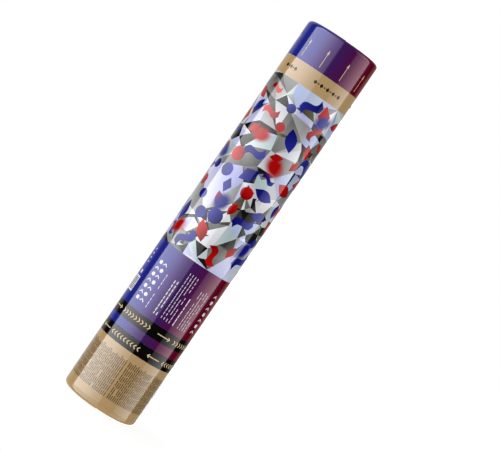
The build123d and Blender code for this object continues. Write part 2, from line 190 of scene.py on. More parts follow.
def grown(name, graph, **values):
    """What a tree makes with these values, as a plain mesh."""
    carrier = bpy.data.objects.new(name, bpy.data.meshes.new(name))
    bpy.context.scene.collection.objects.link(carrier)
    modifier = carrier.modifiers.new(name, "NODES")
    modifier.node_group = graph.tree
    for item in graph.tree.interface.items_tree:
        if item.in_out == "INPUT":
            modifier[item.identifier] = values[item.name]
    depsgraph = bpy.context.evaluated_depsgraph_get()
    evaluated = carrier.evaluated_get(depsgraph)
    mesh = bpy.data.meshes.new_from_object(evaluated, preserve_all_data_layers=True, depsgraph=depsgraph)
    carrier.modifiers.remove(modifier)
    bpy.data.meshes.remove(carrier.data)
    if mesh.materials[0] is None:
        mesh.materials.pop(index=0)
    mesh.name = name
    return mesh


def place_piece(mesh, body, slot, *replaced):
    """A finished mesh as a piece that moves with a body and stands for the CAD nodes it replaces."""
    piece = bpy.data.objects.new(mesh.name, mesh)
    bpy.context.scene.collection.objects.link(piece)
    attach(piece, body)
    if replaced:
        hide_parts(*replaced)


def stud_ring_tree():
    """Round studs on a circle, set half into one level."""
    graph, given = new_tree("ring of studs", Int="Count", Float="Circle Radius Height Level", Material="Ink")
    circle = graph.add("GeometryNodeMeshCircle", {"Vertices": given["Count"], "Radius": given["Circle"]})
    level = graph.vector(z=given["Level"])
    points = graph.add("GeometryNodeTransform", {"Geometry": circle, "Translation": level})
    sizes = {"Vertices": ejector_sectors, "Radius": given["Radius"], "Depth": given["Height"]}
    stud = graph.add("GeometryNodeMeshCylinder", sizes, fill_type="TRIANGLE_FAN")
    studs = graph.add("GeometryNodeInstanceOnPoints", {"Points": points, "Instance": stud})
    return close_tree(graph, studs, given["Ink"])


def point_round(radius, turn, height):
    """A point by its distance from the tube's axis, its turn from the front and its height."""
    return radius * math.sin(turn), -radius * math.cos(turn), height


def skin(build, rings, closed=True):
    """Faces between rings of points, one after another. A ring may be a single point."""
    strips = []
    for first, second in zip(rings, rings[1:]):
        count = max(len(first), len(second))
        strip = []
        for step in range(count if closed else count - 1):
            ahead = (step + 1) % count
            corners = [first[step % len(first)], first[ahead % len(first)]]
            corners += [second[ahead % len(second)], second[step % len(second)]]
            strip.append(build.faces.new(list(dict.fromkeys(corners))))
        strips.append(strip)
    return strips


def turned(build, profile, sectors, uneven=0.0, seed=0, hollow=False):
    """Turns a profile of radii and heights, from axis to axis, or a closed one for a ring."""
    draw = random.Random(seed)
    rings = []
    for radius, height in profile:
        ring = []
        for sector in range(sectors if radius > 0 else 1):
            reach = radius - min(abs(draw.gauss(0, uneven)), radius)
            lift = draw.gauss(0, uneven / 3)
            ring.append(build.verts.new(point_round(reach, math.tau * sector / sectors, height + lift)))
        rings.append(ring)
    skin(build, rings + rings[:1] if hollow else rings)


def finished(name, build, *materials, crease=180):
    """A closed form as a mesh: faces outward, smooth up to a crease in degrees, with its materials."""
    bmesh.ops.recalc_face_normals(build, faces=build.faces)
    mesh = bpy.data.meshes.new(name)
    build.to_mesh(mesh)
    build.free()
    mesh.polygons.foreach_set("use_smooth", [True] * len(mesh.polygons))
    mesh.set_sharp_from_angle(angle=math.radians(crease))
    for material in materials:
        mesh.materials.append(material)
    return mesh


def gate_stub(name, level, way, plastic):
    """The broken stub of a gate, on top of a level or hanging from it."""
    root = level - way * gate_root
    end = level + way * gate_height
    profile = [(0, root), (gate_radius, root), (gate_radius, level), (gate_radius / 2, end), (0, end)]
    build = bmesh.new()
    turned(build, profile, gate_sectors)
    return finished(name, build, plastic, crease=60)


base_plastic = moulded("beige moulding", beige, 0.1)
coat(base_plastic, "handle_cup")
ejector_marks = grown("ejector_marks", stud_ring_tree(), Ink=base_plastic, **ejector_sizes)
place_piece(ejector_marks, "handle", "base_plastic")
place_piece(gate_stub("foot_gate", underside, -1, base_plastic), "handle", "base_plastic")

# Air bottle: drawn from aluminium, so fine lines run along its wall. It is filled through the rubber bung
# in its domed bottom and stands in the cup's seat ring.


def drawn_metal(name, colour, roughness, lines):
    """Bright metal with fine lines from the tool, stretched by a scale along each axis."""
    finish = Finish(name, Metallic=1.0)
    streak = finish.noise(1000.0, 5.0, stretch=lines)
    return finish.made(
        finish.shaded(screen(*colour), finish.noise(90.0), 0.9, 1.04),
        finish.span(streak, roughness * 0.6, roughness * 1.5),
        finish.bump(streak, 0.4, 0.01 * mm),
    )


def rubber(name, colour, bloom_colour):
    """Soft rubber, dull and dusted with a pale bloom."""
    finish = Finish(name, Specular_IOR_Level=0.3)
    bloom = finish.noise(420.0, 5.0)
    share = finish.span(bloom, 0.0, 0.8, 0.45, 0.8)
    return finish.made(
        finish.mixed(share, screen(*colour), screen(*bloom_colour)),
        finish.span(bloom, 0.6, 0.9),
        finish.bump(finish.noise(2600.0), 0.6, 0.02 * mm),
    )


coat(drawn_metal("drawn aluminium", (226, 228, 231), 0.3, (2.2, 2.2, 0.05)), "air_cylinder")
coat(rubber("black rubber", (20, 20, 21), (58, 58, 59)), "fill_bung", "neck_gasket", "stopper_o_ring")

# Valve: a turned brass seat in the bottle's neck, a moulded crown that holds the bottle down and guides
# the jaws, and the stopper that the jaws hold shut. The jaws are of a red plastic that slides well.
milky_plastic = moulded("milky plastic", (232, 230, 222), 0.38)
coat(drawn_metal("turned brass", (214, 178, 106), 0.22, (0.08, 0.08, 3.0)), "valve_seat")
coat(milky_plastic, "valve_housing", "guide_cap")
coat(moulded("hard white plastic", (238, 236, 228), 0.3), "stopper")
coat(moulded("red sliding plastic", (178, 34, 24), 0.34), "jaw_left", "jaw_right")

# Swivel: two milky moulded bearing rings, one plugged into the cup and one glued into the barrel. They run
# on a slip washer, and a sprung split ring of steel wire keeps the barrel on the handle's spigot.
coat(milky_plastic, "handle_neck", "swivel_collar")
coat(moulded("slip washer", (244, 244, 240), 0.2), "thrust_washer")
coat(drawn_metal("spring steel", (188, 189, 193), 0.2, (0.1, 0.1, 2.5)), "swivel_ring")

# Barrel tube: brown board wound on a slant, so its strip leaves one butted seam that climbs round the tube.
# The dark moulded ring with the cam tracks and the plate over the valve are glued into its lower end.
board = (152, 116, 78)
board_seam = (74, 52, 32)
strip_climb = 62.0 * mm
seam_half = 0.012


def wound_board(name):
    """Wound board: long fibres, flecks, and a dark seam that climbs round the axis."""
    finish = Finish(name, Specular_IOR_Level=0.25)
    turn = finish.node("ShaderNodeTexGradient", {0: finish.place}, gradient_type="RADIAL").outputs["Fac"]
    climb = finish.math("DIVIDE", finish.parts(finish.place)["Z"], strip_climb)
    winding = finish.math("FRACT", finish.math("ADD", climb, turn))
    aside = finish.math("ABSOLUTE", finish.math("SUBTRACT", winding, 0.5))
    seam = finish.span(aside, 1.0, 0.0, 0.0, seam_half)
    fibre = finish.noise(900.0, 6.0, stretch=(1.0, 1.0, 0.25))
    fleck = finish.noise(2400.0, 2.0)
    tone = finish.shaded(finish.shaded(screen(*board), fibre, 0.78, 1.16), fleck, 0.93, 1.06)
    return finish.made(
        finish.mixed(finish.math("MULTIPLY", seam, 0.75), tone, screen(*board_seam)),
        finish.span(fibre, 0.72, 0.92),
        finish.bump(finish.math("SUBTRACT", fibre, seam), 0.7, 0.05 * mm),
    )


coat(wound_board("wound board"), "barrel_tube")
coat(moulded("dark moulding", (52, 54, 58), 0.42), "cam_ring", "baffle_plate")

# Wad: a punched disc of pressed grey felt that lies on the plate and pushes the paper out. Its faces are
# uneven, and its cut edge is rounded and fuzzy.
wad_low, wad_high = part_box("wad")
wad_rings = 26
wad_sectors = 96
wad_room = 0.35 * mm
wad_edge = 1.6 * mm
wad_edge_steps = 8
wad_lumps = 0.12 * mm
wad_seed = 5


def felt(name, dark, light):
    """Pressed felt: tangled fibres in two greys with a soft sheen."""
    finish = Finish(name, Sheen_Weight=0.4, Sheen_Roughness=0.5)
    tangle = finish.noise(1500.0, 8.0)
    tone = finish.mixed(finish.span(tangle, 0.0, 1.0, 0.32, 0.66), screen(*dark), screen(*light))
    return finish.made(
        finish.shaded(tone, finish.noise(260.0), 0.85, 1.12),
        finish.span(tangle, 0.86, 1.0),
        finish.bump(tangle, 0.9, 0.15 * mm),
    )


def wad_mesh(name, material):
    """The wad: two flat faces and a half-round edge, all a little uneven."""
    flat = wad_high.x - wad_room - wad_edge
    bottom = wad_low.z + wad_room
    top = wad_high.z - wad_room
    profile = [(flat * step / wad_rings, bottom) for step in range(wad_rings)]
    for step in range(wad_edge_steps + 1):
        swing = math.pi * step / wad_edge_steps
        height = (top + bottom - (top - bottom) * math.cos(swing)) / 2
        profile.append((flat + wad_edge * math.sin(swing), height))
    profile += [(flat * step / wad_rings, top) for step in range(wad_rings - 1, -1, -1)]
    build = bmesh.new()
    turned(build, profile, wad_sectors, wad_lumps, wad_seed)
    return finished(name, build, material)


grey_felt = felt("grey felt", (87, 83, 78), (140, 134, 126))
place_piece(wad_mesh("felt_wad", grey_felt), "charge", "grey_felt", "wad")

# Paper: discs and strips of red and blue metallic paper, cut from one web and dropped into the bore.
# They have taken up a curl. The strips lie crosswise over the wad and the discs in three columns on them.
paper_thickness = 0.14 * mm
paper_bends = 6
# Each paper has its colour and a lighter glint colour, which is painted sheen.
paper_colours_and_glints = {
    "red": ((196, 4, 16), (236, 40, 44)),
    "blue": ((30, 44, 132), (64, 84, 176)),
}
disc_radius = 10.7 * mm
disc_corners = 40
disc_bow = 1.5 * mm
disc_pile = {
    "Columns": 3,
    "Layers": 25,
    "Bottom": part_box("red_discs")[0].z,
    "Pitch": 2.778 * mm,
    "Lane": 0.0,
    "Column": 12.8 * mm,
    "Spin": math.pi,
    "Tilt": math.radians(2.5),
    "Seed": 11,
}
strip_low, strip_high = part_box("red_strips")
strip_room = 0.4 * mm
strip_length = strip_high.x - strip_low.x - strip_room
strip_width = 11.0 * mm
strip_bow = 4.6 * mm
strip_pile = {
    "Columns": 3,
    "Layers": 7,
    "Bottom": strip_low.z,
    "Pitch": 5.5 * mm,
    "Lane": 12.2 * mm,
    "Column": 0.0,
    "Spin": math.radians(1.5),
    "Tilt": math.radians(1.0),
    "Seed": 12,
}


def foil_paper(name, colour, glint):
    """Metallic paper: a bright lacquer with a painted sheen that turns lighter across the sheet, with faint
    creases.
    """
    finish = Finish(name, Metallic=0.55)
    crease = finish.noise(240.0, 4.0, stretch=(1.0, 0.3, 1.0))
    share = finish.span(crease, 0.0, 0.6, 0.35, 0.7)
    return finish.made(
        # The glint colour mixed in along the creases is painted sheen.
        finish.mixed(share, screen(*colour), screen(*glint)),
        finish.span(finish.noise(2600.0), 0.22, 0.4),
        finish.bump(crease, 0.35, 0.25 * mm),
    )


def flat_form(outline, level=0.0):
    """One flat face with this outline, to be cut, bent and thickened."""
    build = bmesh.new()
    build.faces.new([build.verts.new((x, y, level)) for x, y in outline])
    return build


def cut_across(build, axis, places):
    """Cuts a flat form at places along an axis, so that it can bend there."""
    normal = Vector((axis == 0, axis == 1, 0))
    for place in places:
        everything = build.verts[:] + build.edges[:] + build.faces[:]
        bmesh.ops.bisect_plane(build, geom=everything, plane_co=normal * place, plane_no=normal)


def thickened(build, depth):
    """Gives a flat form its thickness: its faces again, lower down, with walls between."""
    under = bmesh.ops.extrude_face_region(build, geom=build.faces[:])["geom"]
    for item in under:
        if isinstance(item, bmesh.types.BMVert):
            item.co.z -= depth


def to_repeat(name, build):
    """A form for a tree to repeat. It isn't shown itself."""
    return bpy.data.objects.new(name, finished(name, build, crease=30))


def round_outline(radius, corners=36):
    """A round outline."""
    turns = [math.tau * step / corners for step in range(corners)]
    return [(radius * math.cos(turn), radius * math.sin(turn)) for turn in turns]


def box_outline(width, height):
    """A rectangle round the middle."""
    return [(width * x / 2, height * y / 2) for x, y in ((-1, -1), (1, -1), (1, 1), (-1, 1))]


def paper_sheet(name, outline, bow, half):
    """A thin closed sheet cut to an outline and bowed along X."""
    build = flat_form(outline)
    cut_across(build, 0, [half * step / paper_bends for step in range(1 - paper_bends, paper_bends)])
    for vert in build.verts:
        vert.co.z = bow * (0.5 - (vert.co.x / half) ** 2)
    thickened(build, paper_thickness)
    return to_repeat(name, build)


def random_value(graph, seed, number, key, low, high):
    """A random value for each key, from low to high. Each number beside the seed draws anew."""
    draw = {2: low, 3: high, "ID": key, "Seed": graph.math("ADD", seed, float(number))}
    return graph.node("FunctionNodeRandomValue", draw, data_type="FLOAT").outputs[1]


def ranks(graph, size):
    """Each point's number, its group of this size and its rank in the group."""
    index = graph.add("GeometryNodeInputIndex")
    group = graph.math("FLOOR", graph.math("DIVIDE", index, size))
    return index, group, graph.math("SUBTRACT", index, graph.math("MULTIPLY", group, size))


def group_points(graph, groups, size, spot):
    """A point for each member of some groups of this size, at its spot."""
    total = graph.math("MULTIPLY", groups, size)
    return graph.add("GeometryNodePoints", {"Count": total, "Position": spot})


def without(graph, points, unwanted):
    """The points that are left without the unwanted ones."""
    choice = {"Geometry": points, "Selection": unwanted}
    return graph.add("GeometryNodeDeleteGeometry", choice, domain="POINT")


def paper_pile_tree():
    """Sheets piled in columns: every other one of a column is of the other colour and lies turned over."""
    graph, given = new_tree(
        "pile of paper",
        Object="Sheet",
        Int="Columns Layers Colour Seed",
        Float="Bottom Pitch Lane Column Spin Tilt",
        Material="Ink",
    )
    index, column, layer = ranks(graph, given["Layers"])
    around = graph.math("MULTIPLY", column, math.tau / 3)
    middle = graph.math("DIVIDE", graph.math("SUBTRACT", given["Columns"], 1.0), 2.0)
    lane = graph.math("MULTIPLY", graph.math("SUBTRACT", column, middle), given["Lane"])
    spot = graph.vector(
        graph.math("MULTIPLY", graph.math("COSINE", around), given["Column"]),
        graph.math("MULTIPLY_ADD", graph.math("SINE", around), given["Column"], lane),
        graph.math("MULTIPLY_ADD", graph.math("ADD", layer, 0.5), given["Pitch"], given["Bottom"]),
    )
    points = group_points(graph, given["Columns"], given["Layers"], spot)
    parity = graph.math("MODULO", graph.math("ADD", column, layer), 2.0)
    other = graph.math("ABSOLUTE", graph.math("SUBTRACT", parity, given["Colour"]))
    chosen = without(graph, points, graph.math("GREATER_THAN", other, 0.5))
    over = graph.math("MULTIPLY", graph.math("MODULO", layer, 2.0), math.pi)
    swings = []
    for number, limit in enumerate((given["Tilt"], given["Tilt"], given["Spin"])):
        back = graph.math("MULTIPLY", limit, -1.0)
        swings.append(random_value(graph, given["Seed"], number, index, back, limit))
    turn = graph.vector(graph.math("ADD", over, swings[0]), swings[1], swings[2])
    shape = graph.node("GeometryNodeObjectInfo", {"Object": given["Sheet"]}).outputs["Geometry"]
    pile = graph.add("GeometryNodeInstanceOnPoints", {"Points": chosen, "Instance": shape, "Rotation": turn})
    return close_tree(graph, pile, given["Ink"])


paper_pile = paper_pile_tree()
disc_outline = round_outline(disc_radius, disc_corners)
disc_pile["Sheet"] = paper_sheet("disc_sheet", disc_outline, disc_bow, disc_radius)
strip_outline = box_outline(strip_length, strip_width)
strip_pile["Sheet"] = paper_sheet("strip_sheet", strip_outline, strip_bow, strip_length / 2)
for parity, (colour, inks) in enumerate(paper_colours_and_glints.items()):
    paper = foil_paper(f"{colour} metallic paper", *inks)
    for kind, pile in (("discs", disc_pile), ("strips", strip_pile)):
        sheets = grown(f"loose_{colour}_{kind}", paper_pile, Colour=parity, Ink=paper, **pile)
        place_piece(sheets, "charge", f"{colour}_paper", f"{colour}_{kind}")

# Mouth cap: a milky plug moulded to close the mouth. Shallow rings in its plate stiffen it, round the stub
# of the gate that it was injected through.
cap_rim = 0.6 * mm
cap_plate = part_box("mouth_cap")[1].z - cap_rim
cap_ring_radii = (4.5 * mm, 9.0 * mm, 13.5 * mm)
cap_ring_half = 0.45 * mm
cap_ring_height = 0.25 * mm
cap_sectors = 120


def cap_ring_mesh(name, plastic):
    """Round-topped rings, sunk half into the cap's plate."""
    build = bmesh.new()
    for middle in cap_ring_radii:
        section = []
        for x, y in round_outline(1, 8):
            section.append((middle + cap_ring_half * x, cap_plate + cap_ring_height * y))
        turned(build, section, cap_sectors, hollow=True)
    return finished(name, build, plastic)


coat(milky_plastic, "mouth_cap")
place_piece(cap_ring_mesh("cap_rings", milky_plastic), "cap", "natural_plastic")
place_piece(gate_stub("cap_gate", cap_plate, 1, milky_plastic), "cap", "natural_plastic")

# Handle film: a glossy printed film rolled round the handle and lapped at the back. It is beige, with blocks
# of fine broken rules, and ends in a black band whose arrows say which way this end is held.
film_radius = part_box("barrel_sleeve")[1].x
film_thickness = 0.3 * mm
film_step = 2.0
lap_angle = 13.0
lap_ramp = 5.0
lap_rise = 0.16 * mm
lap_clearance = 0.02 * mm
handle_low, handle_high = (corner.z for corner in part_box("handle_sleeve"))
barrel_low, barrel_high = (corner.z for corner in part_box("barrel_sleeve"))
joint_level = (handle_high + barrel_low) / 2
joint_gap = 0.1 * mm
lower_band = 42.2 * mm
black = (9, 10, 9)
rule_brown = (94, 75, 49)
arrow_beige = (226, 198, 152)
ink_proud = 0.04 * mm
ink_cell = 1.3 * mm
small_print = {
    "Pitch": 1.28 * mm,
    "Rows": 6,
    "Dash": 4.7 * mm,
    "Weight": 0.64 * mm,
    "Bottom": 9.7 * mm,
    "Shortest": 0.84,
    "Missing": 0.015,
}
print_blocks = [(-160.0, 30, 3), (-73.0, 27, 10), (4.5, 26, 17), (80.0, 29, 24)]
dash_shift = (0.08, 0.5)
dash_longest = 0.97
dash_depth = 1.5 * ink_proud
turn_arrow = (9.8, 0.55, 1.25, 0.9)
turn_chevron = (2.9, 2.0, 0.8)
turn_repeats = {"groups": 4, "pitch": 90}
chevron_row = {"count": 9, "step": 5.8}
hold_angles = (-152.3, -134.0)


def gloss_film(name, paint, gloss=0.5, metal=0.0):
    """Printed film under a clear gloss: mottled ink, a slight orange peel and smudges from hands."""
    finish = Finish(name, Metallic=metal, Specular_IOR_Level=gloss)
    colour = paint(finish) if callable(paint) else screen(*paint)
    return finish.made(
        finish.shaded(colour, finish.noise(1300.0, 2.0), 0.96, 1.04),
        finish.span(finish.noise(55.0, 5.0), 0.03, 0.075, 0.3, 0.75),
        finish.bump(finish.noise(330.0, 1.0), 0.12, 0.03 * mm),
    )


def arc(angle):
    """The way round the tube from the front, for an angle in degrees."""
    return math.radians(angle) * film_radius


def lap_lift(turn):
    """How far the film has climbed over its own start, from 0 to 1, at a turn from the front."""
    share = min(max((turn - math.pi) / math.radians(lap_ramp) + 1, 0.0), 1.0)
    return share * share * (3 - 2 * share)


def film_mesh(name, levels, inks, back):
    """A rolled film. Its bands run from level to level, each in its own ink outside."""
    turns = [math.radians(film_step * step - 180) for step in range(int((360 + lap_angle) / film_step) + 1)]
    build = bmesh.new()
    outer = []
    inner = []
    for level in levels:
        outside = []
        inside = []
        for turn in turns:
            climb = lap_lift(turn)
            under = film_radius - film_thickness + climb * (film_thickness + lap_clearance)
            outside.append(build.verts.new(point_round(film_radius + climb * lap_rise, turn, level)))
            inside.append(build.verts.new(point_round(under, turn, level)))
        outer.append(outside)
        inner.append(inside)
    bands = len(inks)
    strips = skin(build, outer + inner[::-1] + outer[:1], closed=False)
    colours = [*range(1, bands + 1), bands, *[0] * bands, 1]
    for strip, colour in zip(strips, colours):
        for face in strip:
            face.material_index = colour
    for end in (0, -1):
        skin(build, [[ring[end] for ring in outer], [ring[end] for ring in inner]], closed=False)
    return finished(name, build, back, *inks, crease=30)


def pick(graph, points, forms, number, turn=(0.0, 0.0, 0.0), scale=(1.0, 1.0, 1.0)):
    """One of some forms on each point, by its number."""
    shapes = graph.node("GeometryNodeGeometryToInstance")
    for form in reversed(forms):
        geometry = graph.node("GeometryNodeObjectInfo", {"Object": form}).outputs["Geometry"]
        graph.tree.links.new(geometry, shapes.inputs["Geometry"])
    inputs = {
        "Points": points,
        "Instance": shapes.outputs[0],
        "Pick Instance": True,
        "Instance Index": number,
        "Rotation": turn,
        "Scale": scale,
    }
    return graph.add("GeometryNodeInstanceOnPoints", inputs)


def fine_rule_tree():
    """Columns of dashes of uneven length, some left out, that run up the tube like lines of small print."""
    graph, given = new_tree(
        "fine broken rules",
        Int="Columns Rows Seed",
        Float="Pitch Dash Weight Start Bottom Shortest Missing",
        Material="Ink",
    )
    index, column, row = ranks(graph, given["Rows"])
    level = graph.math("ADD", row, random_value(graph, given["Seed"], 3, column, *dash_shift))
    spot = graph.vector(
        graph.math("MULTIPLY_ADD", column, given["Pitch"], given["Start"]),
        graph.math("MULTIPLY_ADD", level, given["Dash"], given["Bottom"]),
    )
    points = group_points(graph, given["Columns"], given["Rows"], spot)
    chance = random_value(graph, given["Seed"], 1, index, 0.0, 1.0)
    kept = without(graph, points, graph.math("LESS_THAN", chance, given["Missing"]))
    size = graph.vector(given["Weight"], given["Dash"], dash_depth)
    dash = graph.add("GeometryNodeMeshCube", {"Size": size})
    length = random_value(graph, given["Seed"], 2, index, given["Shortest"], dash_longest)
    scale = graph.vector(1.0, length, 1.0)
    dashes = graph.add("GeometryNodeInstanceOnPoints", {"Points": kept, "Instance": dash, "Scale": scale})
    real = graph.add("GeometryNodeRealizeInstances", {"Geometry": dashes})
    corner = graph.parts(graph.add("GeometryNodeInputPosition"))
    trimmed = graph.vector(corner["X"], graph.math("MAXIMUM", corner["Y"], given["Bottom"]), corner["Z"])
    flush = graph.add("GeometryNodeSetPosition", {"Geometry": real, "Position": trimmed})
    return close_tree(graph, flush, given["Ink"])


def mark_row_tree():
    """Two marks in turn, in groups round the tube. A group steps sideways, and upward by its rise."""
    graph, given = new_tree(
        "row of marks",
        Object="Mark Other",
        Int="Count Groups",
        Float="Step Rise Pitch Start Height",
        Material="Ink",
    )
    _, group, member = ranks(graph, given["Count"])
    along = graph.math("MULTIPLY_ADD", group, given["Pitch"], given["Start"])
    spot = graph.vector(
        graph.math("MULTIPLY_ADD", member, given["Step"], along),
        graph.math("MULTIPLY_ADD", member, given["Rise"], given["Height"]),
    )
    points = group_points(graph, given["Groups"], given["Count"], spot)
    marks = pick(graph, points, (given["Mark"], given["Other"]), graph.math("MODULO", member, 2.0))
    return close_tree(graph, marks, given["Ink"])


fine_rules = fine_rule_tree()
mark_rows = mark_row_tree()


def rule_block(ink, angle, columns, seed, **sizes):
    """A block of broken rules that starts at an angle in degrees."""
    return grown("rules", fine_rules, Columns=columns, Start=arc(angle), Seed=seed, Ink=ink, **sizes)


def mark_row(ink, mark, height, start, count=1, step=0.0, groups=1, pitch=0.0, rise=0.0, other=None):
    """A row of marks at a height. Its start, its steps and the pitch of its groups are angles in degrees."""
    return grown(
        mark.name,
        mark_rows,
        Mark=mark,
        Other=other or mark,
        Count=count,
        Step=arc(step),
        Rise=rise,
        Groups=groups,
        Pitch=arc(pitch),
        Start=arc(start),
        Height=height,
        Ink=ink,
    )


def flat_mark(name, outline, turn=0.0, proud=ink_proud):
    """A thin plate of ink, outlined in millimetres and cut on a grid so that it bends round the tube."""
    lean = math.radians(turn)
    spots = []
    for x, y in outline:
        across = x * math.cos(lean) - y * math.sin(lean)
        upward = x * math.sin(lean) + y * math.cos(lean)
        spots.append((across * mm, upward * mm))
    build = flat_form(spots, proud)
    for axis in (0, 1):
        reach = int(max(abs(spot[axis]) for spot in spots) / ink_cell)
        cut_across(build, axis, [ink_cell * step for step in range(-reach, reach + 1)])
    fade = build.verts.layers.float.new("fade")
    widest = max(vert.co.length for vert in build.verts)
    for vert in build.verts:
        vert[fade] = 0.5 + 0.5 * vert.co.x / widest
    thickened(build, 2 * proud)
    return to_repeat(name, build)


def mirrored(tip, upper):
    """An outline along X from its tip and its upper half, which goes back from the tip."""
    return [(x, -y) for x, y in reversed(upper)] + [(tip, 0)] + upper


def arrow_outline(length, shaft, barb, pen):
    """A drawn arrow along X with an open head."""
    tip = length / 2
    half = shaft / 2
    inner = tip - pen
    return mirrored(tip, [(tip - barb, barb), (inner - barb, barb), (inner - half, half), (-tip, half)])


def slim_arrow_outline(length, shaft, head, spread):
    """A thin arrow along X with a slim solid head that is notched at the back."""
    tip = length / 2
    return mirrored(tip, [(tip - head, spread / 2), (tip - head * 0.8, shaft / 2), (-tip, shaft / 2)])


def chevron_outline(height, depth, pen):
    """A chevron that points along X."""
    tip = depth / 2
    half = height / 2
    arms = [(-tip, -half), (pen - tip, -half), (tip, 0), (pen - tip, half), (-tip, half)]
    return arms + [(tip - pen, 0)]


def print_on(name, body, *prints):
    """Flat prints of one ink as a piece, rolled round the tube and over the film's lap: X goes round from the
    front, Y up and Z out. They shine like the film under them, so their normals point straight out."""
    build = bmesh.new()
    for mesh in prints:
        build.from_mesh(mesh)
    for vert in build.verts:
        turn = vert.co.x / film_radius
        vert.co = point_round(film_radius + lap_rise * lap_lift(turn) + vert.co.z, turn, vert.co.y)
    build.normal_update()
    mesh = finished(name, build, prints[0].materials[0])
    outward = [Vector((vert.co.x, vert.co.y, 0)).normalized() for vert in mesh.vertices]
    mesh.edges.foreach_set("use_edge_sharp", [True] * len(mesh.edges))
    mesh.normals_split_custom_set_from_vertices(outward)
    place_piece(mesh, body, "printed_film")


def print_turn_marks(name, body, way, angles, height):
    """Arrows with rows of chevrons between them, round a black band. All point one way."""
    arrow = flat_mark("arrow", arrow_outline(*turn_arrow), way)
    chevron = flat_mark("chevron", chevron_outline(*turn_chevron), way)
    print_on(
        name,
        body,
        mark_row(arrow_ink, arrow, height, angles[0], **turn_repeats),
        mark_row(arrow_ink, chevron, height, angles[1], **chevron_row, **turn_repeats),
    )


beige_film = gloss_film("beige film", beige, gloss=0.85)
black_film = gloss_film("black film", black)
film_back = gloss_film("white film back", (226, 224, 218))
rule_ink = gloss_film("brown rules", rule_brown, gloss=0.75)
arrow_ink = gloss_film("beige arrows", arrow_beige)
handle_levels = [handle_low, lower_band, joint_level - joint_gap / 2]
handle_wrap = film_mesh("handle_wrap", handle_levels, [beige_film, black_film], film_back)
place_piece(handle_wrap, "handle", "printed_film", "handle_sleeve")
print_on("small_rules", "handle", *(rule_block(rule_ink, *block, **small_print) for block in print_blocks))
print_turn_marks("hold_marks", "handle", 180, hold_angles, (lower_band + handle_high) / 2)

# Barrel film: the same film round the barrel. From below it has a colour stripe, a black band with arrows,
# a panel that goes from blue through purple to red, a panel of bright facets strewn with paper shapes, a
# beige band and, up to the cap, colour again with arrows towards the mouth. The blue to red colour carries
# painted highlight: it is lighter where the light panels reflect in front.
tear_level = (barrel_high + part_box("cap_film")[0].z) / 2
tear_gap = 0.02 * mm
stripe_top = 57.1 * mm
band_top = 65.8 * mm
colour_top = 111.8 * mm
facet_top = 240.5 * mm
beige_top = 253.5 * mm
turn_angles = (-156.8, -138.0)
# Stops of the printed fade from blue through purple to red. Where the light panels reflect in front the stops
# are lighter than the print: painted highlight, which the X mapping also repeats behind.
fade_and_highlight_stops = [
    (0.035, (40, 47, 152)),
    (0.09, (31, 38, 130)),
    (0.2, (46, 49, 140)),
    (0.36, (70, 44, 122)),
    (0.46, (69, 36, 106)),
    (0.52, (62, 28, 90)),
    (0.66, (75, 19, 78)),
    (0.84, (113, 23, 68)),
    (0.93, (92, 3, 21)),
    (0.97, (122, 4, 26)),
]


def add_ramp(graph, value, stops):
    """A colour by a value from 0 to 1, from stops in rising order."""
    ramp = graph.node("ShaderNodeValToRGB", {"Fac": value})
    elements = ramp.color_ramp.elements
    elements.remove(elements[1])
    for number, (place, colour) in enumerate(stops):
        stop = elements.new(place) if number else elements[0]
        stop.position = place
        stop.color = colour
    return ramp.outputs["Color"]


def fade_with_painted_highlights(finish):
    """Blue on the left through purple in front to red on the right, and back again behind, with painted
    highlight in the lighter stops.
    """
    share = finish.span(finish.parts(finish.place)["X"], 0.0, 1.0, -film_radius, film_radius)
    return add_ramp(finish, share, [(spot, screen(*colour)) for spot, colour in fade_and_highlight_stops])


# The film's colour is the printed fade with painted highlight in its lighter stops.
colour_film_with_painted_highlights = gloss_film("blue to red film", fade_with_painted_highlights, gloss=0.58, metal=0.06)
white_film = gloss_film("white film", (240, 240, 242), metal=0.08)
barrel_levels = [joint_level + joint_gap / 2, stripe_top, band_top, colour_top, facet_top, beige_top]
barrel_levels.append(tear_level - tear_gap / 2)
barrel_inks = [colour_film_with_painted_highlights, black_film, colour_film_with_painted_highlights, white_film, beige_film, colour_film_with_painted_highlights]
barrel_wrap = film_mesh("barrel_wrap", barrel_levels, barrel_inks, film_back)
place_piece(barrel_wrap, "barrel", "printed_film", "barrel_sleeve")
print_turn_marks("turn_marks", "barrel", 0, turn_angles, (stripe_top + band_top) / 2)

# Facets: the ground of the bright panel is printed like folded foil, in flat pieces of white, lilac, grey
# and near black that meet in stars. Each piece fades from one tone to another, and over them lie a few
# blurred red and blue spots, like paper that flies past close to the eye.
facet_lift = 0.02 * mm
facet_seed = 4
facet_start = arc(lap_angle - 179.7)
facet_end = arc(lap_angle + 179.7)
facet_step = 3.0
same_point = 0.0001 * mm
fade_length = 22.0 * mm
merge_chance = 0.3
star_count = 36
star_reach = (4.0 * mm, 17.0 * mm)
star_gap = 15.0 * mm
star_spokes = (4, 6)
spoke_swing = 0.3
sliver_turn = (0.12, 0.4)
sliver_share = (0.7, 1.1)
side_steps = 8
rim_steps = 10
pale_tones = [
    ((246, 246, 248), (208, 210, 220), 5),
    ((234, 234, 236), (172, 172, 176), 8),
    ((222, 222, 242), (166, 170, 214), 7),
    ((210, 220, 238), (146, 160, 204), 5),
    ((222, 232, 232), (168, 186, 190), 4),
    ((198, 198, 198), (122, 122, 122), 8),
    ((158, 158, 156), (88, 88, 88), 6),
]
dark_tones = [
    ((150, 150, 148), (64, 64, 64), 14),
    ((96, 96, 92), (20, 20, 20), 24),
    ((40, 40, 38), (6, 6, 6), 24),
    ((140, 132, 106), (46, 40, 30), 7),
]
sliver_area = 60.0 * mm * mm
blur_red = (172, 10, 12)
blur_blue = (24, 27, 128)
blur_core = 0.4
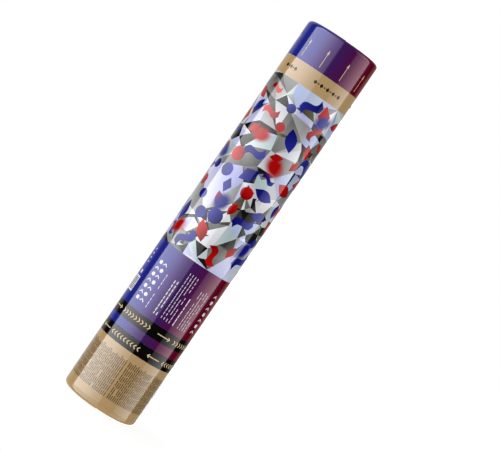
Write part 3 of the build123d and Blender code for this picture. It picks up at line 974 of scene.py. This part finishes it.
blurs = [
    (-24.0, 201.0, 8.0, 6.2, 20.0, blur_red),
    (17.0, 188.5, 9.6, 7.4, -35.0, blur_red),
    (-17.0, 152.0, 8.4, 6.6, 70.0, blur_blue),
    (54.0, 134.5, 9.6, 6.6, 60.0, blur_blue),
    (40.0, 228.0, 8.6, 6.0, 30.0, blur_blue),
    (-72.0, 180.0, 9.6, 6.8, -20.0, blur_blue),
    (80.0, 166.0, 9.0, 6.8, 10.0, blur_red),
    (-56.0, 125.0, 8.6, 6.4, 40.0, blur_red),
    (-116.0, 148.0, 9.6, 6.8, 15.0, blur_red),
    (-142.0, 204.0, 9.2, 6.4, -50.0, blur_blue),
    (118.0, 212.0, 9.4, 7.0, 35.0, blur_red),
    (148.0, 158.0, 9.6, 6.4, -25.0, blur_blue),
    (-160.0, 127.0, 8.6, 6.6, 5.0, blur_red),
]


def facet_points(draw):
    """Points of the facets: stars of slivers round their hearts, and the panel's border."""
    hearts = []
    while len(hearts) < star_count:
        heart = Vector((draw.uniform(facet_start, facet_end), draw.uniform(colour_top, facet_top)))
        if all((heart - other).length > star_gap for other in hearts):
            hearts.append(heart)
    points = list(hearts)
    for heart in hearts:
        spokes = draw.randint(*star_spokes)
        first = draw.uniform(0, math.tau)
        for spoke in range(spokes):
            angle = first + math.tau * (spoke + draw.uniform(-spoke_swing, spoke_swing)) / spokes
            reach = draw.uniform(*star_reach)
            sliver = draw.uniform(*sliver_turn)
            for side, share in ((angle, 1.0), (angle + sliver, draw.uniform(*sliver_share))):
                point = heart + Vector((math.cos(side), math.sin(side))) * reach * share
                points.append(point)
    kept = []
    for point in points:
        if facet_start < point.x < facet_end and colour_top < point.y < facet_top:
            kept.append(point)
    for step in range(side_steps + 1):
        height = colour_top + (facet_top - colour_top) * step / side_steps
        kept += [Vector((facet_start, height)), Vector((facet_end, height))]
    for step in range(1, rim_steps):
        swing = draw.uniform(-spoke_swing, spoke_swing)
        across = facet_start + (facet_end - facet_start) * (step + swing) / rim_steps
        kept += [Vector((across, colour_top)), Vector((across, facet_top))]
    return kept


def facet_tone(draw, area):
    """Two colours that a piece fades between. Only slivers are dark."""
    choice = pale_tones + dark_tones if area < sliver_area else pale_tones
    return draw.choices(choice, [weight for *_, weight in choice])[0]


def facet_mesh(name, material):
    """The facets, laid out flat, with the colours of their corners."""
    draw = random.Random(facet_seed)
    spots, _, triangles, *_ = delaunay_2d_cdt(facet_points(draw), [], [], 0, same_point)
    build = bmesh.new()
    verts = [build.verts.new((spot.x, spot.y, facet_lift)) for spot in spots]
    piece_of = build.faces.layers.int.new("piece")
    owners = {}
    middles = []
    areas = []
    for triangle in triangles:
        face = build.faces.new([verts[corner] for corner in triangle])
        edges = [tuple(sorted(pair)) for pair in zip(triangle, triangle[1:] + triangle[:1])]
        shared = [owners[edge] for edge in edges if edge in owners]
        if shared and draw.random() < merge_chance:
            face[piece_of] = draw.choice(shared)
        else:
            face[piece_of] = len(middles)
            middles.append(face.calc_center_median())
            areas.append(0.0)
        areas[face[piece_of]] += face.calc_area()
        for edge in edges:
            owners[edge] = face[piece_of]
    tones = [facet_tone(draw, area) for area in areas]
    slopes = [draw.uniform(0, math.tau) for _ in middles]
    bends = range(int(-180 / facet_step), int(200 / facet_step))
    cut_across(build, 0, [arc(facet_step * step) for step in bends])
    ink = build.loops.layers.float_color.new("ink")
    for face in build.faces:
        piece = face[piece_of]
        start, end, _ = tones[piece]
        slope = Vector((math.cos(slopes[piece]), math.sin(slopes[piece]), 0))
        for loop in face.loops:
            share = 0.5 + (loop.vert.co - middles[piece]).dot(slope) / fade_length
            share = min(max(share, 0.0), 1.0)
            loop[ink] = screen(*(a + (b - a) * share for a, b in zip(start, end)))
    thickened(build, 2 * facet_lift)
    return finished(name, build, material)


def blurred_in(finish, colour):
    """A print with the blurred spots over it, ovals that thin out towards their rims."""
    spot = finish.parts(finish.place)
    turn = finish.math("ARCTAN2", spot["X"], finish.math("MULTIPLY", spot["Y"], -1.0))
    flat = finish.vector(finish.math("MULTIPLY", turn, film_radius), spot["Z"])
    for angle, height, length, width, lean, tint in blurs:
        fit = {
            "Vector": flat,
            "Location": (arc(angle), height * mm, 0.0),
            "Rotation": (0.0, 0.0, math.radians(lean)),
            "Scale": (length * mm, width * mm, 1.0),
        }
        inside = finish.add("ShaderNodeMapping", fit, vector_type="TEXTURE")
        reach = finish.node("ShaderNodeVectorMath", {0: inside}, operation="LENGTH").outputs["Value"]
        share = finish.span(reach, 1.0, 0.0, blur_core, 1.0, interpolation_type="SMOOTHSTEP")
        colour = finish.mixed(share, colour, screen(*tint))
    return colour


def facet_ink(finish):
    """The colour stored at the facets' corners, under the blurred spots."""
    stored = finish.node("ShaderNodeAttribute", attribute_name="ink").outputs["Color"]
    return blurred_in(finish, stored)


facet_film = gloss_film("facet film", facet_ink, metal=0.08)
print_on("facet_print", "barrel", facet_mesh("facets", facet_film))

# Strewn shapes: red and blue dots, diamonds, petals and waved ribbons printed over the facets, each a little
# lighter towards one side, as if paper were flying past behind the blurred spots.
deep_red = (132, 2, 4)
light_red = (196, 18, 16)
deep_blue = (8, 10, 96)
light_blue = (40, 44, 152)
red_share = 0.5
strewn_lift = 0.04 * mm
strewn_margin = 8.0 * mm
strewn_density = 40000.0
curve_shares = [step / 12 for step in range(13)]
strewn_sizes = {
    "Middle": arc(lap_angle),
    "Width": 2 * arc(162),
    "Bottom": colour_top + strewn_margin,
    "Top": facet_top - strewn_margin,
    "Spacing": 10.4 * mm,
    "Smallest": 0.65,
    "Largest": 1.25,
    "Seed": 7,
}


def wave_outline(length, width, sway):
    """A waved ribbon with square ends."""
    middle = [(length * (share - 0.5), sway * math.sin(math.tau * share)) for share in curve_shares]
    return [(x, y - width / 2) for x, y in middle] + [(x, y + width / 2) for x, y in reversed(middle)]


def petal_outline(length, width):
    """A pointed petal between two arcs."""
    upper = [(length * (share - 0.5), width / 2 * math.sin(math.pi * share)) for share in curve_shares]
    return [(x, -y) for x, y in upper[1:-1]] + upper[::-1]


def strewn_tree():
    """Marks strewn over a flat field at uneven angles and sizes, each with a number for its ink."""
    graph, given = new_tree(
        "strewn shapes",
        Object="First Second Third Fourth",
        Float="Middle Width Bottom Top Spacing Smallest Largest",
        Int="Seed",
        Material="Ink",
    )
    seed = given["Seed"]
    height = graph.math("SUBTRACT", given["Top"], given["Bottom"])
    field = graph.add("GeometryNodeMeshGrid", {"Size X": given["Width"], "Size Y": height, 2: 2, 3: 2})
    middle = graph.vector(given["Middle"], graph.math("MULTIPLY_ADD", height, 0.5, given["Bottom"]))
    moved = graph.add("GeometryNodeTransform", {"Geometry": field, "Translation": middle})
    spread = {"Mesh": moved, "Distance Min": given["Spacing"], "Density Max": strewn_density, "Seed": seed}
    points = graph.add("GeometryNodeDistributePointsOnFaces", spread, distribute_method="POISSON")
    index = graph.add("GeometryNodeInputIndex")
    raised = graph.vector(z=random_value(graph, seed, 1, index, 0.0, strewn_lift))
    layered = graph.add("GeometryNodeSetPosition", {"Geometry": points, "Offset": raised})
    turn = graph.vector(z=random_value(graph, seed, 2, index, 0.0, math.tau))
    forms = [given[label] for label in ("First", "Second", "Third", "Fourth")]
    kind = graph.math("FLOOR", random_value(graph, seed, 3, index, 0.0, len(forms) - 0.01))
    scale = random_value(graph, seed, 4, index, given["Smallest"], given["Largest"])
    placed = pick(graph, layered, forms, kind, turn, scale)
    number = {"Geometry": placed, "Name": "ink", "Value": random_value(graph, seed, 5, index, 0.0, 1.0)}
    numbered = graph.add("GeometryNodeStoreNamedAttribute", number, data_type="FLOAT", domain="INSTANCE")
    return close_tree(graph, numbered, given["Ink"])


def shape_ink(finish):
    """Red or blue by the shape's number, lighter towards one side of the shape."""
    number = finish.node("ShaderNodeAttribute", attribute_name="ink").outputs["Fac"]
    fade = finish.node("ShaderNodeAttribute", attribute_name="fade").outputs["Fac"]
    reds = finish.mixed(fade, screen(*deep_red), screen(*light_red))
    blues = finish.mixed(fade, screen(*deep_blue), screen(*light_blue))
    inks = finish.mixed(finish.math("GREATER_THAN", number, red_share), reds, blues)
    return blurred_in(finish, inks)


strewn = grown(
    "strewn",
    strewn_tree(),
    First=flat_mark("dot", round_outline(4.4)),
    Second=flat_mark("diamond", [(-6.2, 0), (0, -3.9), (6.2, 0), (0, 3.9)]),
    Third=flat_mark("petal", petal_outline(13.0, 6.6)),
    Fourth=flat_mark("ribbon", wave_outline(14.0, 4.6, 1.9)),
    Ink=gloss_film("red and blue shapes", shape_ink, metal=0.08),
    **strewn_sizes,
)
print_on("strewn_shapes", "barrel", strewn)

# Marks on the colour panel: bold columns of plain shapes and thin broken rules, printed white on the colour,
# and round on the left a white plate with even bars.
panel_rules = {"Pitch": 2.0 * mm, "Dash": 2.9 * mm, "Bottom": 70.5 * mm, "Missing": 0.1}
panel_seed = 20
panel_columns = [
    (-22.0, 1, 9, 0.42, 0.5),
    (-8.0, 2, 9, 0.62, 0.65),
    (4.0, 4, 12, 0.36, 0.55),
    (23.5, 1, 7, 0.62, 0.65),
    (32.0, 4, 10, 0.34, 0.55),
    (118.0, 6, 12, 0.36, 0.55),
    (150.0, 2, 9, 0.62, 0.65),
    (-142.0, 5, 12, 0.36, 0.55),
    (-121.0, 2, 8, 0.62, 0.65),
]
bold_bottom = 73.0 * mm
bold_column = {"count": 7, "rise": 4.4 * mm}
plate_angle = -88.4
plate_middle = 78.3 * mm
bar_count = 9
bar_rise = 1.0 * mm
small_angle = -70.0
small_box_level = 86.9 * mm
small_dot_level = 94.4 * mm
small_dots = {"count": 4, "rise": 3.2 * mm}
white_ink = gloss_film("white marks", (232, 230, 236))
dark_ink = gloss_film("dark marks", (34, 28, 22))
bold_dot = flat_mark("bold_dot", round_outline(1.35))
bold_chevron = flat_mark("bold_chevron", chevron_outline(3.2, 2.4, 0.95), 90)
bold_columns = [
    (-42.0, bold_dot, bold_chevron),
    (-33.0, bold_chevron, bold_dot),
    (61.0, bold_chevron, bold_dot),
    (-152.0, bold_dot, bold_chevron),
    (95.0, bold_chevron, bold_dot),
]
plate = flat_mark("plate", box_outline(24.0, 11.0))
bar = flat_mark("bar", box_outline(22.6, 0.5), proud=2 * ink_proud)
small_box = flat_mark("small_box", box_outline(2.6, 2.6))
small_dot = flat_mark("small_dot", round_outline(0.65))
panel_marks = []
for number, (angle, columns, rows, weight, shortest) in enumerate(panel_columns):
    sizes = {"Rows": rows, "Weight": weight * mm, "Shortest": shortest}
    panel_marks.append(rule_block(white_ink, angle, columns, panel_seed + number, **sizes, **panel_rules))
for angle, mark, other in bold_columns:
    panel_marks.append(mark_row(white_ink, mark, bold_bottom, angle, **bold_column, other=other))
panel_marks.append(mark_row(white_ink, plate, plate_middle, plate_angle))
panel_marks.append(mark_row(white_ink, small_box, small_box_level, small_angle))
panel_marks.append(mark_row(white_ink, small_dot, small_dot_level, small_angle, **small_dots))
print_on("panel_marks", "barrel", *panel_marks)
bar_bottom = plate_middle - bar_rise * (bar_count - 1) / 2
bars = mark_row(dark_ink, bar, bar_bottom, plate_angle, count=bar_count, rise=bar_rise)
print_on("plate_bars", "barrel", bars)

# Marks on the beige band and the arrows to the mouth: small dark diamonds and dots in a row, and thin beige
# arrows that show which end the paper leaves by.
beige_middle = (facet_top + beige_top) / 2
arrow_middle = 262.0 * mm
band_diamond = flat_mark("band_diamond", [(-1.25, 0), (0, -1.5), (1.25, 0), (0, 1.5)])
band_dot = flat_mark("band_dot", round_outline(0.5))
mouth_arrow = flat_mark("mouth_arrow", slim_arrow_outline(12.4, 0.34, 3.1, 1.6), 90)
long_rows = {"start": -3.0, "count": 9, "step": 5.0, "groups": 2, "pitch": 79}
short_rows = {"start": -56.0, "count": 5, "step": 4.5, "groups": 2, "pitch": -90}
print_on(
    "band_marks",
    "barrel",
    mark_row(dark_ink, band_diamond, beige_middle, other=band_dot, **long_rows),
    mark_row(dark_ink, band_diamond, beige_middle, other=band_dot, **short_rows),
)
arrows = mark_row(arrow_ink, mouth_arrow, arrow_middle, start=-142.0, count=10, step=33.0)
print_on("mouth_arrows", "barrel", arrows)

# Cap film: the top end of the film, shrunk over the cap's edge. Its lap lies on the cap in small pleats and
# has an uneven cut edge. A perforated line lets it tear off with the cap.
lap_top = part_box("cap_film")[1].z
edge_radius = 3.0 * mm
edge_steps = 8
lap_width = 5.0 * mm
lap_steps = 6
lap_film = 0.7 * film_thickness
lap_ragged = 0.012
pleat_count = 34
pleat_depth = 0.22 * mm
pleat_steps = 8
pleat_swell = (0.4, 1.0)
pleat_seed = 6


def cap_film_mesh(name, material):
    """The film over the cap's edge, as a closed sheet whose lap is pleated."""
    flat_start = film_radius - edge_radius
    shoulder = lap_top - edge_radius
    profile = [(film_radius, tear_level + tear_gap / 2), (film_radius, shoulder)]
    for step in range(1, edge_steps + 1):
        swing = math.pi / 2 * step / edge_steps
        profile.append((flat_start + edge_radius * math.cos(swing), shoulder + edge_radius * math.sin(swing)))
    profile += [(flat_start - lap_width * step / lap_steps, lap_top) for step in range(1, lap_steps + 1)]
    draw = random.Random(pleat_seed)
    swells = [draw.uniform(*pleat_swell) for _ in range(pleat_count)]
    sectors = pleat_count * pleat_steps
    build = bmesh.new()

    def ring(radius, height, thickness):
        inward = max(0.0, (flat_start - radius) / lap_width)
        verts = []
        for sector in range(sectors):
            turn = math.tau * sector / sectors
            swell = swells[sector // pleat_steps]
            fold = swell * math.sin(math.pi * (sector % pleat_steps) / pleat_steps) ** 2
            ragged = 1 - lap_ragged * inward * math.sin(3 * turn + 5 * swell)
            level = height - pleat_depth * inward * (1 - fold)
            if height > shoulder:
                level -= thickness
            reach = radius * ragged - (thickness if inward == 0 else 0)
            verts.append(build.verts.new(point_round(reach, turn, level)))
        return verts

    outer = [ring(radius, height, 0.0) for radius, height in profile]
    inner = [ring(radius, height, lap_film) for radius, height in profile]
    skin(build, outer + inner[::-1] + outer[:1])
    return finished(name, build, material, crease=50)


place_piece(cap_film_mesh("cap_wrap", colour_film_with_painted_highlights), "cap", "printed_film", "cap_film")

# Studio: a white floor and a white surround. Two tall light panels stand left and right of the camera, and
# the gloss shows them with the dark gaps between them.
floor_half = 4.0
floor_grey = (0.2, 0.2, 0.2, 1.0)
floor_glow = 0.85
white = (1.0, 1.0, 1.0, 1.0)
back_left = [(-180, 0.6), (-150, 0.45), (-132, 0.34), (-122, 0.0)]
left_panel = [(-102, 0.0), (-99, 4.5), (-74, 4.45), (-57, 4.1), (-42, 3.3), (-28, 2.3), (-14, 1.5), (-3, 1.2)]
right_panel = [(-1, 0.0), (45, 0.0), (48, 0.6), (58, 0.95), (74, 1.7), (92, 2.45), (97, 2.6), (100, 0.0)]
back_right = [(122, 0.0), (132, 0.17), (150, 0.35), (180, 4.5)]
panel_peak = 4.5
panel_reach = (0.68, 0.8)
panel_beyond = 0.15
fill_left = 1.25
fill_right = 0.5
camera_place = Vector((0.0, -1.269, 0.1976))
camera_aim = Vector((0.0155, 0.0, 0.1493))
camera_lens = 143.3
camera_roll = 34.33


def studio_world():
    """White behind the popper, even light on it, and the light panels in its gloss."""
    world = bpy.data.worlds.new("studio")
    world.use_nodes = True
    graph = Graph(world.node_tree)
    way = graph.parts(graph.node("ShaderNodeTexCoord").outputs["Generated"])
    around = graph.math("ARCTAN2", way["X"], graph.math("MULTIPLY", way["Y"], -1.0))
    stops = []
    for angle, level in back_left + left_panel + right_panel + back_right:
        share = level / panel_peak
        stops.append(((angle + 180) / 360, (share, share, share, 1.0)))
    ramp = add_ramp(graph, graph.span(around, 0.0, 1.0, -math.pi, math.pi), stops)
    steep = graph.span(graph.math("ABSOLUTE", way["Z"]), 1.0, panel_beyond, *panel_reach)
    panels = graph.math("MULTIPLY", graph.math("MULTIPLY", ramp, steep), panel_peak)
    rays = graph.node("ShaderNodeLightPath").outputs
    seen = graph.math("MAXIMUM", rays["Is Camera Ray"], rays["Is Transmission Ray"])
    fill = graph.span(way["X"], fill_left, fill_right, -1.0, 1.0)
    lit = graph.mixed(rays["Is Glossy Ray"], fill, panels)
    shown = graph.mixed(seen, lit, white)
    graph.tree.links.new(shown, world.node_tree.nodes["Background"].inputs["Color"])
    return world


def floor_piece():
    """A white floor that shows the popper's soft shadow."""
    mesh = bpy.data.meshes.new("floor")
    mesh.from_pydata([(x * floor_half, y * floor_half, 0) for x, y in box_outline(2, 2)], [], [(0, 1, 2, 3)])
    finish = Finish(
        "white floor",
        Base_Color=floor_grey,
        Roughness=1.0,
        Specular_IOR_Level=0.0,
        Emission_Color=white,
        Emission_Strength=floor_glow,
    )
    mesh.materials.append(finish.material)
    floor = bpy.data.objects.new("floor", mesh)
    bpy.context.scene.collection.objects.link(floor)
    floor.visible_glossy = False


def photo_camera():
    """The camera, rolled so that the upright tube leans to the right in the picture."""
    camera = bpy.data.objects.new("camera", bpy.data.cameras.new("camera"))
    bpy.context.scene.collection.objects.link(camera)
    camera.data.lens = camera_lens
    camera.location = camera_place
    aimed = (camera_aim - camera_place).to_track_quat("-Z", "Y")
    camera.rotation_mode = "QUATERNION"
    camera.rotation_quaternion = aimed @ Quaternion((0, 0, 1), math.radians(camera_roll))
    bpy.context.scene.camera = camera


bpy.context.scene.world = studio_world()
floor_piece()
photo_camera()
bpy.context.scene.view_settings.view_transform = "Standard"
